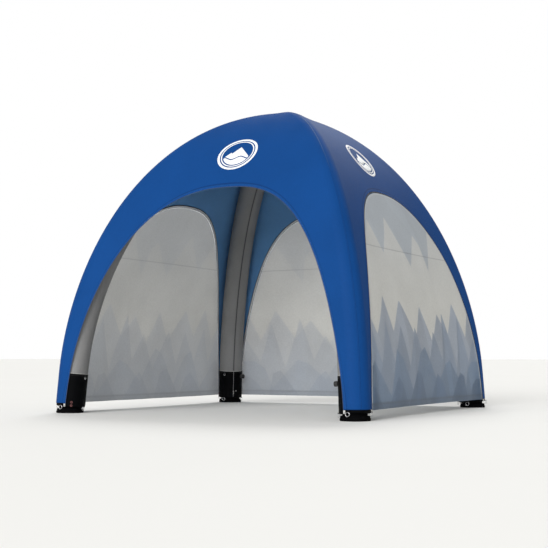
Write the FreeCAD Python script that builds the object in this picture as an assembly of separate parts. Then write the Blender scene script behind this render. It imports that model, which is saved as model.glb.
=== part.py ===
import FreeCAD, Part
import math
import os
from FreeCAD import Matrix, Vector

# Inflatable arch tent. Four air-filled legs rise from the corners of a square and meet at the crown.
# A canopy is stretched over them and leaves an arched opening on each side. Three of the openings are
# closed by zipped-in walls; the front, towards -Y, is open.
# Origin: ground level at the middle of the square of feet. +Z up, front towards -Y. Millimetres.

# ---------------------------------------------------------------- legs
FOOT_OFFSET = 1380.0        # foot centre from the tent's middle, along X and along Y
LEG_LEAN = 0.0588           # how far the straight part moves in, along X and along Y, per mm of height
STRAIGHT_TOP = 345.0        # height at which the leg starts to bend
BEND_LIFT = 979.0           # height of the curve's first handle above the straight part
SHOULDER_REACH = 868.0      # length along X of the curve's last handle
CROWN_HEIGHT = 2667.0       # leg centre line at the crown
CROWN_SLOPE = 0.15          # slope of the centre line at the crown
PAST_CROWN = 220.0          # how far each leg is drawn past the crown before it is mitred

SLEEVE_RADIUS = 123.0       # outside of the fabric sleeve
SLEEVE_WALL = 2.0
BLADDER_RADIUS = 119.8      # outside of the air bladder
BLADDER_WALL = 1.5
SLEEVE_START = 66.5         # distances along the leg from the foot centre
BLADDER_START = 60.0
SLEEVE_MITRE_GAP = 1.0      # from the mitre planes x = 0 and y = 0
BLADDER_MITRE_GAP = 3.5

# ---------------------------------------------------------------- boots and foot plates
BOOT_RADIUS = 126.2
BOOT_WALL = 2.0
BOOT_BOTTOM = 53.0
BOOT_TOP = 347.0
BOOT_ROUNDING = 12.0
CLEAR = 0.3                 # gap between a boot and what is sewn on it
OVERLAP = 1.0               # how far shapes that are fused or cut reach into each other
BOOT_FACE = BOOT_RADIUS + CLEAR

PLATE_RADIUS = 120.0
PLATE_BASE_HEIGHT = 21.0
PLATE_TOP_RADIUS = 116.0
PLATE_HEIGHT = 38.0
PLATE_EDGE = 3.0
PLATE_NECK_RADIUS = 98.0
PLATE_NECK_TOP = 52.6
RIB_RADIUS = 106.0
RIB_WIDTH = 3.0
RIB_HEIGHT = 1.5

# ---------------------------------------------------------------- canopy, walls and arch zips
CANOPY_RADIUS = 129.4       # outside of the canopy, from the leg centre line
FABRIC = 2.0                # thickness of canopy and walls
WALL_BOTTOM = 80.0
CANOPY_BOTTOM = 85.0
CANOPY_TOP = 2793.0         # the small flat crown patch
SAG = 0.035                 # inward sag of a face at mid-span, as a share of its half width
ARCH_HALF_WIDTH = 1345.0
ARCH_HEIGHT = 1960.0
ARCH_WIDTH_POWER = 2.5      # the arch is |x/w|^2.5 + (z/h)^1.6 = 1
ARCH_HEIGHT_POWER = 1.6
ARCH_STEPS = 20
OPENING_START = 900.0       # the blocks that cut the openings begin this far from the middle
ZIP_WIDTH = 12.0
ZIP_GAP = 1.0               # from the zip to the fabric on either side
STEEP_RINGS = [140, 200, 260, 320, 400, 500, 620, 770, 920, 1070, 1220, 1370, 1520, 1670, 1820]
SHALLOW_RINGS = [1960, 2080, 2190, 2280, 2365, 2440, 2505, 2560, 2610, 2650, 2685, 2710, 2735, 2755, 2775]
RING_HEIGHTS = STEEP_RINGS + SHALLOW_RINGS
LOWEST_Q = -1.6             # search limits for the skin point at a height
HALVINGS = 50

# ---------------------------------------------------------------- leg zips, sliders and pulls
TAPE_WIDTH = 12.0
TAPE_THICKNESS = 1.5
LEG_ZIP_START = 352.0
BOOT_ZIP_START = 70.0
BOOT_ZIP_END = 345.0
SLIDER_AT = 131.0
SLIDER_LENGTH = 16.0
SLIDER_WIDTH = 10.0
SLIDER_HEIGHT = 4.0
SLIDER_ROUNDING = 2.0
LUG_WIDTH = 2.0
LUG_WALL = 1.0
PULL_PIN_RADIUS = 1.0
PULL_PIN_LIFT = 4.0         # pull pin above the slider's face
PULL_CLEARANCE = 0.06
PULL_WIDTH = 5.6
PULL_LENGTH = 30.0
PULL_THICKNESS = 2.0
PULL_EYE_RADIUS = 2.4
PULL_END_ROUNDING = 2.24

# ---------------------------------------------------------------- valves
VALVE_AT = 290.0
VALVE_BEARING = 45.0        # bearings are turned about the leg from the line to the tent's middle
FLANGE_RADIUS = 20.0
FLANGE_THICKNESS = 4.0
STEM_RADIUS = 11.0
STEM_OUT = 24.0             # stem end above the boot
STEM_IN = 112.0             # stem's inner end, from the leg centre line
STEM_BORE = 7.0
STEM_HOLE_GAP = 0.6
CAP_RADIUS = 22.0
CAP_BASE = 11.0             # cap's inner face above the boot
CAP_TOP = 40.0
CAP_CLEARANCE = 0.06
CAP_ROUNDING = 5.0
GRIP_COUNT = 8
GRIP_RADIUS = 4.0

# ---------------------------------------------------------------- rings, tabs, eyelets and clips
D_RING_BEARING = -45.0
D_RING_AT = 318.0
D_RING_OUT = 6.0            # bar above the boot
D_RING_WIRE = 1.5
D_RING_HALF = 8.5
D_RING_SIDE = 9.0
D_TAB_WIDTH = 12.0
D_TAB_LENGTH = 24.0
D_TAB_THICKNESS = 3.0
D_TAB_WALL = 1.6
D_CLEARANCE = 0.06

ANCHOR_BEARINGS = {"inner_a": 45.0, "inner_b": -45.0, "outer_a": 135.0, "outer_b": -135.0}
ANCHOR_AT = 62.0
ANCHOR_OUT = 15.0           # ring's hinge line above the boot
ANCHOR_RING_RADIUS = 16.0
ANCHOR_WIRE = 2.0
ANCHOR_TAB_WIDTH = 10.0
ANCHOR_TAB_THICKNESS = 3.0
ANCHOR_HOLE = 3.2
ANCHOR_TAB_WALL = 1.8

EYELET_BEARING = -95.0
EYELETS_AT = [95.0, 66.0]
EYELET_RADIUS = 10.0
EYELET_HOLE = 5.0
EYELET_THICKNESS = 3.0

CLIP_WIDTH = 16.0
CLIP_DEPTH = 4.0
CLIP_BOTTOM = 58.0
CLIP_TOP = 84.0
CLIP_SLOT_WIDTH = 8.0
CLIP_SLOT_HEIGHT = 6.0
CLIP_SLOT_LIFT = 4.0
CLIP_ROUNDING = 3.0

FAR = 2200.0                # beyond every piece, for cutting blocks

UP = Vector(0, 0, 1)
MIDDLE = Vector(0, 0, 0)

# Legs in order of turn about +Z from the front right one.
LEGS = ["front_right", "back_right", "back_left", "front_left"]


# ---------------------------------------------------------------- leg centre line
def bend_poles():
    """Offset and height of the four control points of the bend."""
    joint_offset = FOOT_OFFSET - LEG_LEAN * STRAIGHT_TOP
    return [
        (joint_offset, STRAIGHT_TOP),
        (joint_offset - LEG_LEAN * BEND_LIFT, STRAIGHT_TOP + BEND_LIFT),
        (SHOULDER_REACH, CROWN_HEIGHT - CROWN_SLOPE * SHOULDER_REACH),
        (0.0, CROWN_HEIGHT),
    ]


def centre_line(q):
    """Offset from the middle, height and outward normal. q < 0 is the straight part, 0 to 1 the bend."""
    if q < 0:
        height = STRAIGHT_TOP * (1 + q)
        offset = FOOT_OFFSET - LEG_LEAN * height
        run, rise = -LEG_LEAN, 1.0
    else:
        poles = bend_poles()
        p = 1 - q
        weights = [p ** 3, 3 * p * p * q, 3 * p * q * q, q ** 3]
        slopes = [-3 * p * p, 3 * p * p - 6 * p * q, 6 * p * q - 3 * q * q, 3 * q * q]
        offset = sum(w * pole[0] for w, pole in zip(weights, poles))
        height = sum(w * pole[1] for w, pole in zip(weights, poles))
        run = sum(s * pole[0] for s, pole in zip(slopes, poles))
        rise = sum(s * pole[1] for s, pole in zip(slopes, poles))
    size = math.hypot(run, rise)
    return offset, height, rise / size, -run / size


def leg_point(offset, height):
    """A point over the diagonal of the front right leg."""
    return Vector(offset, -offset, height)


def leg_frame():
    """Frame of the front right foot: x to the tent's middle, z along the straight part of the leg."""
    along = Vector(-LEG_LEAN, LEG_LEAN, 1).normalize()
    across = along.cross(Vector(-1, 1, 0)).normalize()
    inward = across.cross(along)
    foot = leg_point(FOOT_OFFSET, 0)
    return Matrix(
        inward.x, across.x, along.x, foot.x,
        inward.y, across.y, along.y, foot.y,
        inward.z, across.z, along.z, foot.z,
        0, 0, 0, 1,
    )


LEG_FRAME = leg_frame()


def on_leg(shape):
    """Move a shape from the leg's own frame to the front right leg."""
    placed = shape.copy()
    placed.transformShape(LEG_FRAME)
    return placed


def at_bearing(shape, bearing):
    """Turn a shape, built towards +x of the leg's frame, about the leg."""
    turned = shape.copy()
    turned.rotate(MIDDLE, UP, bearing)
    return turned


def quarter_turn(shape, leg):
    """Turn a shape from the front right leg to another leg, or from the front to another side."""
    turned = shape.copy()
    turned.rotate(MIDDLE, UP, 90 * leg)
    return turned


def box(low, high):
    size = high - low
    return Part.makeBox(size.x, size.y, size.z, low)


def leg_path(start):
    """The leg's centre line from a distance above the foot centre to past the crown."""
    length = math.sqrt(1 + 2 * LEG_LEAN ** 2)
    low = start / length
    bottom = leg_point(FOOT_OFFSET - LEG_LEAN * low, low)
    poles = [leg_point(offset, height) for offset, height in bend_poles()]
    past = leg_point(-PAST_CROWN, CROWN_HEIGHT + CROWN_SLOPE * PAST_CROWN)
    bend = Part.BezierCurve()
    bend.setPoles(poles)
    return Part.Wire([Part.makeLine(bottom, poles[0]), bend.toShape(), Part.makeLine(poles[-1], past)])


def quadrant(gap):
    """The front right quarter of space, held back from the mitre planes."""
    return box(Vector(gap, -FAR, -FAR), Vector(FAR, -gap, 2 * FAR))


def leg_tube(radius, start, gap):
    """A solid round leg, mitred at the crown."""
    ring = Part.Wire([Part.makeCircle(radius, Vector(0, 0, start), UP)])
    tube = leg_path(start).makePipeShell([on_leg(ring)], True, False)
    return tube.common(quadrant(gap)).Solids[0]


# ---------------------------------------------------------------- legs: sleeves, bladders, zips
def stem_hole():
    radius = STEM_RADIUS + STEM_HOLE_GAP
    hole = Part.makeCylinder(radius, BOOT_RADIUS, Vector(0, 0, VALVE_AT), Vector(1, 0, 0))
    return on_leg(at_bearing(hole, VALVE_BEARING))


def make_sleeve():
    outside = leg_tube(SLEEVE_RADIUS, SLEEVE_START, SLEEVE_MITRE_GAP)
    inside = leg_tube(SLEEVE_RADIUS - SLEEVE_WALL, SLEEVE_START - SLEEVE_WALL, 0)
    return outside.cut(inside).cut(stem_hole())


def make_bladder():
    outside = leg_tube(BLADDER_RADIUS, BLADDER_START, BLADDER_MITRE_GAP)
    air = leg_tube(
        BLADDER_RADIUS - BLADDER_WALL,
        BLADDER_START + BLADDER_WALL,
        BLADDER_MITRE_GAP + BLADDER_WALL,
    )
    return outside.cut(air).cut(stem_hole())


def make_leg_zip():
    """Zip tape on the sleeve, along the side that faces the tent's middle."""
    inner = SLEEVE_RADIUS + CLEAR
    outer = inner + TAPE_THICKNESS
    half = TAPE_WIDTH / 2
    corners = [
        Vector(inner, -half, SLEEVE_START),
        Vector(outer, -half, SLEEVE_START),
        Vector(outer, half, SLEEVE_START),
        Vector(inner, half, SLEEVE_START),
        Vector(inner, -half, SLEEVE_START),
    ]
    tape = leg_path(SLEEVE_START).makePipeShell([on_leg(Part.makePolygon(corners))], True, False)
    below = on_leg(box(Vector(0, -TAPE_WIDTH, 0), Vector(2 * outer, TAPE_WIDTH, LEG_ZIP_START)))
    return tape.cut(below).common(quadrant(SLEEVE_MITRE_GAP)).Solids[0]


def make_boot_zip():
    low = Vector(BOOT_FACE, -TAPE_WIDTH / 2, BOOT_ZIP_START)
    high = Vector(BOOT_FACE + TAPE_THICKNESS, TAPE_WIDTH / 2, BOOT_ZIP_END)
    return on_leg(box(low, high))


# ---------------------------------------------------------------- boots and foot plates
def round_bottomed(radius, bottom, rounding):
    body = Part.makeCylinder(radius, BOOT_TOP - bottom, Vector(0, 0, bottom))
    low_edge = min(body.Edges, key=lambda edge: edge.CenterOfMass.z)
    return body.makeFillet(rounding, [low_edge])


def make_boot():
    outside = round_bottomed(BOOT_RADIUS, BOOT_BOTTOM, BOOT_ROUNDING)
    inside = round_bottomed(BOOT_RADIUS - BOOT_WALL, BOOT_BOTTOM + BOOT_WALL, BOOT_ROUNDING - BOOT_WALL)
    return on_leg(outside.cut(inside)).cut(stem_hole())


def make_foot_plate():
    centre = leg_point(FOOT_OFFSET, 0)
    base = Part.makeCylinder(PLATE_RADIUS, PLATE_BASE_HEIGHT, centre)
    rims = [edge for edge in base.Edges if isinstance(edge.Curve, Part.Circle)]
    base = base.makeChamfer(PLATE_EDGE, rims)
    top = Part.makeCylinder(PLATE_TOP_RADIUS, PLATE_HEIGHT - PLATE_EDGE, centre + UP * PLATE_EDGE)
    rims = [edge for edge in top.Edges if edge.CenterOfMass.z > PLATE_HEIGHT - OVERLAP]
    top = top.makeFillet(PLATE_EDGE, rims)
    rib_base = centre + UP * (PLATE_HEIGHT - OVERLAP)
    rib = Part.makeCylinder(RIB_RADIUS, RIB_HEIGHT + OVERLAP, rib_base)
    rib = rib.cut(Part.makeCylinder(RIB_RADIUS - RIB_WIDTH, RIB_HEIGHT + OVERLAP, rib_base))
    neck = on_leg(Part.makeCylinder(PLATE_NECK_RADIUS, PLATE_NECK_TOP - PLATE_EDGE, UP * PLATE_EDGE))
    neck = neck.common(box(Vector(0, -FAR, PLATE_EDGE), Vector(FAR, 0, FAR)))
    return base.multiFuse([top, rib, neck]).removeSplitter()


# ---------------------------------------------------------------- canopy, walls and arch zips
def skin_point(q, share, radius):
    """Point on a skin stretched over the leg: share 0 touches the -Y face, share 1 the +X face."""
    offset, height, out, up = centre_line(q)
    turn = math.acos(up * up)
    to_y = math.sin((1 - share) * turn) / math.sin(turn)
    to_x = math.sin(share * turn) / math.sin(turn)
    direction = Vector(0, -out, up) * to_y + Vector(out, 0, up) * to_x
    return leg_point(offset, height) + direction * radius


def skin_point_at(height, share, radius):
    """The skin point at a given height, found by halving."""
    low, high = LOWEST_Q, 1.0
    for _ in range(HALVINGS):
        middle = (low + high) / 2
        if skin_point(middle, share, radius).z < height:
            low = middle
        else:
            high = middle
    point = skin_point(low, share, radius)
    point.z = height
    return point


def skin_ring(height, radius):
    """Closed outline of the skin at one height: four sagging sides and four corners round the legs."""
    start = skin_point_at(height, 0, radius)
    sag_point = Vector(0, start.y + SAG * start.x, height)
    side = Part.Arc(Vector(-start.x, start.y, height), sag_point, start).toShape()
    corner = Part.BSplineCurve()
    corner.interpolate(
        Points=[skin_point_at(height, share / 4, radius) for share in range(5)],
        InitialTangent=Vector(1, 0, 0),
        FinalTangent=Vector(0, 1, 0),
    )
    edges = []
    for leg in range(4):
        edges.append(quarter_turn(side, leg))
        edges.append(quarter_turn(corner.toShape(), leg))
    return Part.Wire(edges)


def skin_solid(radius, bottom, top):
    rings = [skin_ring(height, radius) for height in [bottom] + RING_HEIGHTS + [top]]
    return Part.makeLoft(rings, True, False)


def arch_block(inset):
    """A block that fills the front opening, from inside the tent to beyond the front."""
    half_width = ARCH_HALF_WIDTH - inset
    arch_height = ARCH_HEIGHT - inset
    start = Vector(0, -OPENING_START, 0)
    points = []
    for step in range(ARCH_STEPS + 1):
        angle = math.pi * step / ARCH_STEPS
        across = math.copysign(abs(math.cos(angle)) ** (2 / ARCH_WIDTH_POWER), math.cos(angle))
        rise = abs(math.sin(angle)) ** (2 / ARCH_HEIGHT_POWER)
        points.append(start + Vector(half_width * across, 0, arch_height * rise))
    arch = Part.BSplineCurve()
    arch.interpolate(Points=points, InitialTangent=UP, FinalTangent=UP * -1)
    below = UP * -WALL_BOTTOM
    right = Part.makeLine(points[0] + below, points[0])
    left = Part.makeLine(points[-1], points[-1] + below)
    ground = Part.makeLine(points[-1] + below, points[0] + below)
    return Part.Face(Part.Wire([right, arch.toShape(), left, ground])).extrude(Vector(0, -FAR, 0))


def make_skin():
    outside = skin_solid(CANOPY_RADIUS, WALL_BOTTOM, CANOPY_TOP)
    inside = skin_solid(CANOPY_RADIUS - FABRIC, WALL_BOTTOM - FABRIC, CANOPY_TOP - FABRIC)
    return outside.cut(inside)


def make_canopy(skin):
    canopy = skin.cut(box(Vector(-FAR, -FAR, 0), Vector(FAR, FAR, CANOPY_BOTTOM)))
    for side in range(4):
        canopy = canopy.cut(quarter_turn(arch_block(0), side))
    return canopy


def make_front_panel(skin):
    return skin.common(arch_block(ZIP_WIDTH + 2 * ZIP_GAP))


def make_front_zip(skin):
    below = box(Vector(-FAR, -FAR, 0), Vector(FAR, FAR, CANOPY_BOTTOM))
    return skin.common(arch_block(ZIP_GAP)).cut([arch_block(ZIP_GAP + ZIP_WIDTH), below])


# ---------------------------------------------------------------- sliders, pulls
SLIDER_FACE = BOOT_FACE + TAPE_THICKNESS + CLEAR
PULL_PIN_OUT = SLIDER_FACE + SLIDER_HEIGHT + PULL_PIN_LIFT


def make_slider():
    """Zip slider with two lugs and the pin that carries its pull."""
    half = SLIDER_WIDTH / 2
    bottom = SLIDER_AT - SLIDER_LENGTH / 2
    top = SLIDER_AT + SLIDER_LENGTH / 2
    low = Vector(SLIDER_FACE, -half, bottom)
    body = box(low, Vector(SLIDER_FACE + SLIDER_HEIGHT, half, top))
    uprights = [edge for edge in body.Edges if edge.BoundBox.XLength > SLIDER_HEIGHT / 2]
    pieces = [body.makeFillet(SLIDER_ROUNDING, uprights)]
    lug_radius = PULL_PIN_RADIUS + LUG_WALL
    for y in (-half, half - LUG_WIDTH):
        lug = Part.makeCylinder(
            lug_radius, LUG_WIDTH, Vector(PULL_PIN_OUT, y, SLIDER_AT), Vector(0, 1, 0)
        )
        foot_low = Vector(SLIDER_FACE + OVERLAP, y, SLIDER_AT - lug_radius)
        foot_high = Vector(PULL_PIN_OUT, y + LUG_WIDTH, SLIDER_AT + lug_radius)
        pieces.append(lug)
        pieces.append(box(foot_low, foot_high))
    pin_start = Vector(PULL_PIN_OUT, OVERLAP - half, SLIDER_AT)
    pin_length = SLIDER_WIDTH - 2 * OVERLAP
    pieces.append(Part.makeCylinder(PULL_PIN_RADIUS, pin_length, pin_start, Vector(0, 1, 0)))
    return on_leg(pieces[0].multiFuse(pieces[1:]).removeSplitter())


def make_pull():
    """Pull tab that hangs from the slider's pin."""
    half = PULL_WIDTH / 2
    across = Vector(0, 1, 0)
    eye_centre = Vector(PULL_PIN_OUT, -half, SLIDER_AT)
    eye = Part.makeCylinder(PULL_EYE_RADIUS, PULL_WIDTH, eye_centre, across)
    low = Vector(PULL_PIN_OUT - PULL_THICKNESS / 2, -half, SLIDER_AT - PULL_LENGTH)
    high = Vector(PULL_PIN_OUT + PULL_THICKNESS / 2, half, SLIDER_AT)
    blade = box(low, high)
    hole = Part.makeCylinder(PULL_PIN_RADIUS + PULL_CLEARANCE, PULL_WIDTH, eye_centre, across)
    ends = [
        edge
        for edge in blade.Edges
        if edge.CenterOfMass.z < low.z + OVERLAP and edge.BoundBox.XLength > PULL_THICKNESS / 2
    ]
    blade = blade.makeFillet(PULL_END_ROUNDING, ends)
    return on_leg(eye.fuse(blade).cut(hole).removeSplitter())


# ---------------------------------------------------------------- valves
def make_valve_body():
    """Flange on the boot and stem with a through bore into the bladder."""
    outward = Vector(1, 0, 0)
    flange_end = BOOT_FACE + FLANGE_THICKNESS
    stem_end = BOOT_RADIUS + STEM_OUT
    flange = Part.makeCylinder(
        FLANGE_RADIUS, flange_end - STEM_IN, Vector(STEM_IN, 0, VALVE_AT), outward
    )
    flange = flange.cut(Part.makeCylinder(BOOT_FACE, 2 * VALVE_AT))
    stem = Part.makeCylinder(STEM_RADIUS, stem_end - STEM_IN, Vector(STEM_IN, 0, VALVE_AT), outward)
    bore = Part.makeCylinder(STEM_BORE, stem_end - STEM_IN, Vector(STEM_IN, 0, VALVE_AT), outward)
    body = flange.fuse(stem).cut(bore).removeSplitter()
    return on_leg(at_bearing(body, VALVE_BEARING))


def make_valve_cap():
    """Ribbed knob that turns on the stem."""
    outward = Vector(1, 0, 0)
    base = BOOT_RADIUS + CAP_BASE
    knob = Part.makeCylinder(CAP_RADIUS, CAP_TOP - CAP_BASE, Vector(base, 0, VALVE_AT), outward)
    outer_rim = max(knob.Edges, key=lambda edge: edge.CenterOfMass.x)
    knob = knob.makeFillet(CAP_ROUNDING, [outer_rim])
    socket_depth = STEM_OUT - CAP_BASE + OVERLAP
    socket = Part.makeCylinder(
        STEM_RADIUS + CAP_CLEARANCE, socket_depth, Vector(base, 0, VALVE_AT), outward
    )
    grips = []
    for index in range(GRIP_COUNT):
        angle = 2 * math.pi * index / GRIP_COUNT
        reach = CAP_RADIUS + GRIP_RADIUS / 2
        start = Vector(base, reach * math.cos(angle), VALVE_AT + reach * math.sin(angle))
        grips.append(Part.makeCylinder(GRIP_RADIUS, CAP_TOP, start, outward))
    return on_leg(at_bearing(knob.cut([socket] + grips), VALVE_BEARING))


# ---------------------------------------------------------------- rings, tabs, eyelets and clips
def make_d_ring():
    """D-shaped wire ring that hangs from its bar."""
    out = BOOT_RADIUS + D_RING_OUT
    across = Vector(0, 1, 0)
    left = Vector(out, -D_RING_HALF, D_RING_AT)
    right = Vector(out, D_RING_HALF, D_RING_AT)
    drop = Vector(0, 0, -D_RING_SIDE)
    bend_centre = Vector(out, 0, D_RING_AT) + drop
    bend = Part.makeTorus(D_RING_HALF, D_RING_WIRE, bend_centre, Vector(1, 0, 0))
    lower_half = box(
        bend_centre + Vector(-D_RING_WIRE, -2 * D_RING_HALF, -2 * D_RING_HALF),
        bend_centre + Vector(D_RING_WIRE, 2 * D_RING_HALF, 0),
    )
    pieces = [
        Part.makeCylinder(D_RING_WIRE, 2 * D_RING_HALF, left, across),
        Part.makeCylinder(D_RING_WIRE, D_RING_SIDE, left, drop),
        Part.makeCylinder(D_RING_WIRE, D_RING_SIDE, right, drop),
        Part.makeSphere(D_RING_WIRE, left),
        Part.makeSphere(D_RING_WIRE, right),
    ]
    ring = bend.common(lower_half).multiFuse(pieces).removeSplitter()
    return on_leg(at_bearing(ring, D_RING_BEARING))


def make_d_ring_tab():
    """Webbing loop, sewn on the boot, that holds the ring's bar."""
    out = BOOT_RADIUS + D_RING_OUT
    half = D_TAB_WIDTH / 2
    bar = Vector(out, -half, D_RING_AT)
    across = Vector(0, 1, 0)
    loop = Part.makeCylinder(D_RING_WIRE + D_CLEARANCE + D_TAB_WALL, D_TAB_WIDTH, bar, across)
    strap = box(
        Vector(out - D_TAB_THICKNESS * 2, -half, D_RING_AT),
        Vector(out - D_TAB_THICKNESS / 2, half, D_RING_AT + D_TAB_LENGTH),
    )
    hole = Part.makeCylinder(D_RING_WIRE + D_CLEARANCE, D_TAB_WIDTH, bar, across)
    boot = Part.makeCylinder(BOOT_FACE, 2 * D_RING_AT)
    tab = loop.fuse(strap).cut([hole, boot]).removeSplitter()
    return on_leg(at_bearing(tab, D_RING_BEARING))


def make_anchor_ring(bearing):
    """Round ring for a peg or guy line, hanging from its tab."""
    centre = Vector(BOOT_RADIUS + ANCHOR_OUT, 0, ANCHOR_AT - ANCHOR_RING_RADIUS)
    ring = Part.makeTorus(ANCHOR_RING_RADIUS, ANCHOR_WIRE, centre, Vector(1, 0, 0))
    return on_leg(at_bearing(ring, bearing))


def make_anchor_tab(bearing):
    """Webbing loop that stands out from the boot and holds a ring."""
    out = BOOT_RADIUS + ANCHOR_OUT
    half = ANCHOR_TAB_WIDTH / 2
    axis_start = Vector(out, -half, ANCHOR_AT)
    across = Vector(0, 1, 0)
    loop = Part.makeCylinder(ANCHOR_HOLE + ANCHOR_TAB_WALL, ANCHOR_TAB_WIDTH, axis_start, across)
    strap = box(
        Vector(BOOT_RADIUS - ANCHOR_OUT, -half, ANCHOR_AT - ANCHOR_TAB_THICKNESS / 2),
        Vector(out, half, ANCHOR_AT + ANCHOR_TAB_THICKNESS / 2),
    )
    hole = Part.makeCylinder(ANCHOR_HOLE, ANCHOR_TAB_WIDTH, axis_start, across)
    boot = Part.makeCylinder(BOOT_FACE, 2 * ANCHOR_AT)
    tab = loop.fuse(strap).cut([hole, boot]).removeSplitter()
    return on_leg(at_bearing(tab, bearing))


def make_eyelet(height):
    start = Vector(BOOT_RADIUS - EYELET_RADIUS, 0, height)
    length = EYELET_RADIUS + EYELET_THICKNESS
    disc = Part.makeCylinder(EYELET_RADIUS, length, start, Vector(1, 0, 0))
    hole = Part.makeCylinder(EYELET_HOLE, length, start, Vector(1, 0, 0))
    boot = Part.makeCylinder(BOOT_FACE, 2 * height)
    return on_leg(at_bearing(disc.cut([hole, boot]), EYELET_BEARING))


def make_clip():
    """Slotted clip under the canopy's lower corner, on the -Y face of the front right leg."""
    middle_height = (CLIP_BOTTOM + CLIP_TOP) / 2
    face = -(FOOT_OFFSET - LEG_LEAN * middle_height + CANOPY_RADIUS)
    low = Vector(ARCH_HALF_WIDTH - CLIP_WIDTH / 2, face, CLIP_BOTTOM)
    high = Vector(ARCH_HALF_WIDTH + CLIP_WIDTH / 2, face + CLIP_DEPTH, CLIP_TOP)
    body = box(low, high)
    corners = [edge for edge in body.Edges if edge.BoundBox.YLength > CLIP_DEPTH / 2]
    body = body.makeFillet(CLIP_ROUNDING, corners)
    slot_left = ARCH_HALF_WIDTH - CLIP_SLOT_WIDTH / 2
    slot_low = Vector(slot_left, face - OVERLAP, CLIP_BOTTOM + CLIP_SLOT_LIFT)
    slot_size = Vector(CLIP_SLOT_WIDTH, CLIP_DEPTH + 2 * OVERLAP, CLIP_SLOT_HEIGHT)
    slot = box(slot_low, slot_low + slot_size)
    return body.cut(slot)


def mirror_to_side(shape):
    """Mirror from the front right leg's -Y face to its +X face."""
    return shape.mirror(MIDDLE, Vector(1, 1, 0))


# ---------------------------------------------------------------- export
os.makedirs("parts", exist_ok=True)


def export(shape, name):
    if len(shape.Solids) == 1:
        shape = shape.Solids[0]
    shape.exportStep("parts/" + name + ".step")


def export_group(shapes, name):
    """Identical pieces that share one file, as separate solids."""
    solids = [solid for shape in shapes for solid in shape.Solids]
    Part.makeCompound(solids).exportStep("parts/" + name + ".step")


def each_leg(shape):
    return [quarter_turn(shape, leg) for leg in range(4)]


def export_each_leg(shape, name):
    for leg, turned in zip(LEGS, each_leg(shape)):
        export(turned, name + "_" + leg)


skin = make_skin()
export(make_canopy(skin), "canopy")
panel = make_front_panel(skin)
for side, turns in (("right", 1), ("back", 2), ("left", 3)):
    export(quarter_turn(panel, turns), "wall_" + side)
export_group(each_leg(make_front_zip(skin)), "arch_zips")

export_each_leg(make_sleeve(), "sleeve")
export_each_leg(make_bladder(), "air_bladder")
export_each_leg(make_boot(), "boot")
export_each_leg(make_foot_plate(), "foot_plate")
export_group(each_leg(make_leg_zip()) + each_leg(make_boot_zip()), "leg_zips")
export_each_leg(make_slider(), "zip_slider")
export_each_leg(make_pull(), "zip_pull")

export_group(each_leg(make_valve_body()), "valve_bodies")
export_each_leg(make_valve_cap(), "valve_cap")

export_each_leg(make_d_ring(), "d_ring")
export_group(each_leg(make_d_ring_tab()), "d_ring_tabs")
tabs = []
for bearing_name, bearing in ANCHOR_BEARINGS.items():
    export_each_leg(make_anchor_ring(bearing), "anchor_ring_" + bearing_name)
    tabs += each_leg(make_anchor_tab(bearing))
export_group(tabs, "anchor_tabs")

eyelets = []
for height in EYELETS_AT:
    eyelets += each_leg(make_eyelet(height))
export_group(eyelets, "boot_eyelets")
clip = make_clip()
export_group(each_leg(clip) + each_leg(mirror_to_side(clip)), "canopy_clips")
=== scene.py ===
"""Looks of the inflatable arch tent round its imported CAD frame. Metres, +Z up, front towards -Y."""
import math
import random

import bmesh
import bpy
import numpy as np
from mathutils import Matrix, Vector, noise


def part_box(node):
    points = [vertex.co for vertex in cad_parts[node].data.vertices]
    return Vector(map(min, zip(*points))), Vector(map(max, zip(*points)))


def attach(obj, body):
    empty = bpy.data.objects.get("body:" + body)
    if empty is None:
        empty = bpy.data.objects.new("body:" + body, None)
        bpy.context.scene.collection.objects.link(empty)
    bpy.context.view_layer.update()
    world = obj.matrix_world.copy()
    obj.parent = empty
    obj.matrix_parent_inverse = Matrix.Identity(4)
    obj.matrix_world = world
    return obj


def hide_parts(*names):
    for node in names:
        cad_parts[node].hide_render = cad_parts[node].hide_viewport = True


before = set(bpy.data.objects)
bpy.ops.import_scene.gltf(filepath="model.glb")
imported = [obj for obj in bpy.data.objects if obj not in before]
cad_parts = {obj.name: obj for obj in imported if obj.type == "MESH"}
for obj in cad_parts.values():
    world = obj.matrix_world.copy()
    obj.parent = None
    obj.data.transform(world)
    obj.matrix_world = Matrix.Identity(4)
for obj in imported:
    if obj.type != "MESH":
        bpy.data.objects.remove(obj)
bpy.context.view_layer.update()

LEGS = ["front_right", "back_right", "back_left", "front_left"]
SIDES = ["front", "right", "back", "left"]


# ---- sizes, worked out from the frame
plate_low, plate_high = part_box("foot_plate_front_right")
canopy_low, canopy_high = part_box("canopy")
wall_low, wall_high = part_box("wall_back")
FOOT = (plate_low.x + plate_high.x) / 2  # foot centre from the tent's middle, along X and Y
LEAN = 0.0588  # how far the straight part moves in per metre of height
STRAIGHT_TOP = 0.345
BEND_LIFT = 0.979  # how far the bend's first handle goes on up the straight part
SHOULDER_REACH = 0.868  # the bend's second handle, from the middle
CROWN_SLOPE = 0.15
SKIN_RADIUS = 0.1292  # outside of the canopy, from the leg centre line
CROWN_HEIGHT = canopy_high.z - 0.126  # leg centre line at the crown
SAG = 0.035  # inward sag of a face, as a share of its half width
ARCH_HALF_WIDTH = 1.345
ARCH_HEIGHT = wall_high.z + 0.014  # the canopy's arch stands above the wall's top edge
ARCH_WIDTH_POWER = 2.5
ARCH_HEIGHT_POWER = 1.6
WALL_INSET = 0.0143
WALL_BOTTOM = wall_low.z
CANOPY_BOTTOM = canopy_low.z
SLEEVE_RADIUS = 0.1226
SLEEVE_START = 0.0665  # height above the foot centre where the sleeve begins
BOOT_RADIUS = 0.1260
BOOT_TOP = 0.347
BOOT_BOTTOM = 0.053
SMALL = 1e-6  # keeps a division off zero at the crown
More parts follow.
